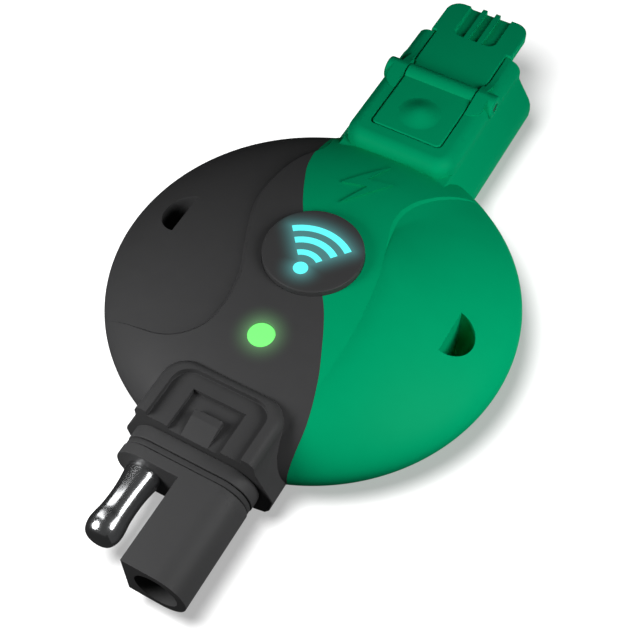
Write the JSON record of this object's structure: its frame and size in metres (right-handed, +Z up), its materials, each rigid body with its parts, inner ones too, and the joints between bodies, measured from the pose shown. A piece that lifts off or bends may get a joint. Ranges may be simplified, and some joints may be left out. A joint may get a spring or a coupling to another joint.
{
  "type": "in-line battery charge pod",
  "caption": "Lens-shaped two-tone battery charge pod with a two-pole plug, a latching two-pole socket, a lit button and a status light.",
  "frame": {"origin": "centre of the round flat base, on the face it stands on", "axes": "+Z up through the button, +Y along the pod towards the latch and socket end, -Y towards the plug"},
  "size_m": [0.0572, 0.1031, 0.0187],
  "materials": {
    "case_grey": "fine moulded satin",
    "case_green": "fine moulded satin",
    "plug_grey": "smooth moulded satin",
    "button_grey": "soft satin",
    "icon_light": "lit translucent",
    "lens_light": "lit translucent",
    "contact": "polished",
    "steel": "plated",
    "rubber": "matt",
    "copper": "bare copper",
    "board": "solder mask",
    "chip": "moulded",
    "can": "satin",
    "cream": "moulded"
  },
  "bodies": {
    "case": {"grey_shell": "case_grey", "green_shell": "case_green", "base_cover": "case_grey", "base_gasket": "rubber", "base_screw_1": "steel", "base_screw_2": "steel", "base_screw_3": "steel", "base_screw_4": "steel", "plug_insulator": "plug_grey", "plug_o_ring": "rubber", "plug_pin": "contact", "plug_sleeve": "contact", "socket_insulator": "plug_grey", "socket_pin": "contact", "socket_sleeve": "contact", "latch_pin": "steel", "latch_spring": "steel", "tact_switch": "chip", "status_lens": "lens_light", "circuit_board": "board", "status_led": "cream", "wireless_led_1": "cream", "wireless_led_2": "cream", "wireless_module": "can", "controller_chip": "chip", "power_transistor_1": "chip", "power_transistor_2": "chip", "inductor": "chip", "capacitor_1": "can", "capacitor_2": "can", "fuse": "cream", "plug_bus_bar_left": "copper", "plug_bus_bar_right": "copper", "socket_bus_bar_left": "copper", "socket_bus_bar_right": "copper"},
    "latch": {"latch_lever": "case_green"},
    "button": {"wireless_button": "button_grey", "button_light_guide": "icon_light", "button_seal": "rubber", "switch_plunger": "cream"}
  },
  "joints": [
    {"name": "latch_hinge", "type": "hinge", "parent": "case", "child": "latch", "pos_m": [0, 0.0387, 0.0154], "axis": [1, 0, 0], "range_deg": [0, 6], "stiffness_Nm_per_rad": 0.4, "springref_deg": -2.86, "deforming": ["latch_spring"]},
    {"name": "button_press", "type": "slide", "parent": "case", "child": "button", "axis": [0, 0, -1], "range_m": [0, 0.0007], "stiffness_N_per_m": 2000, "springref_m": -0.0003}
  ]
}
